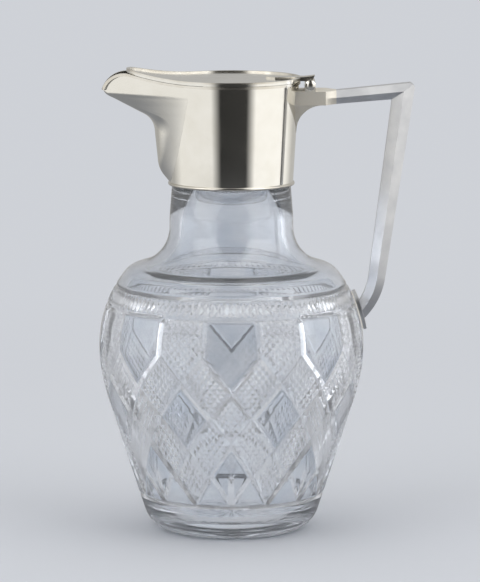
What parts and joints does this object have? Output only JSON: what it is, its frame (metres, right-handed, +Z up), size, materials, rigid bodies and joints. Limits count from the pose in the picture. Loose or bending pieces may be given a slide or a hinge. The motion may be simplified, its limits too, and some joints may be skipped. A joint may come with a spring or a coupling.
{
  "type": "claret jug",
  "caption": "Cut-glass claret jug with a silver sleeve, long open beak, flat hinged lid and angular handle.",
  "frame": {"origin": "middle of the foot, on the jug's axis, where it rests on a table", "axes": "+Z up along the jug's axis, +X towards the handle, -X towards the beak, Y along the lid's hinge"},
  "size_m": [0.1446, 0.1216, 0.2133],
  "materials": {
    "cut_glass": "polished cut lead crystal",
    "silver": "polished silver, warm white",
    "silver_wire": "polished silver, softly worn",
    "handle_silver": "silver with the satin of handling",
    "pin_metal": "drawn wire",
    "plaster": "matt"
  },
  "bodies": {
    "jug": {"glass_body": "cut_glass", "neck_cement": "plaster", "terminal_cement": "plaster", "collar": "silver", "collar_foot_wire": "silver_wire", "spout": "silver", "rim_wire": "silver_wire", "handle_socket": "handle_silver", "body_knuckles": "silver_wire", "hinge_pin": "pin_metal", "pin_caps": "silver_wire", "handle_arm": "handle_silver", "handle_grip": "handle_silver", "handle_terminal": "handle_silver"},
    "lid": {"lid_plate": "silver", "lid_edge_wire": "silver_wire", "lid_bezel": "silver", "lid_leaf": "silver_wire", "lid_knuckle": "silver_wire", "thumbpiece": "silver_wire"}
  },
  "joints": [
    {"name": "lid_hinge", "type": "hinge", "parent": "jug", "child": "lid", "pos_m": [0.036, 0, 0.2063], "axis": [0, 1, 0], "range_deg": [0, 100]}
  ]
}
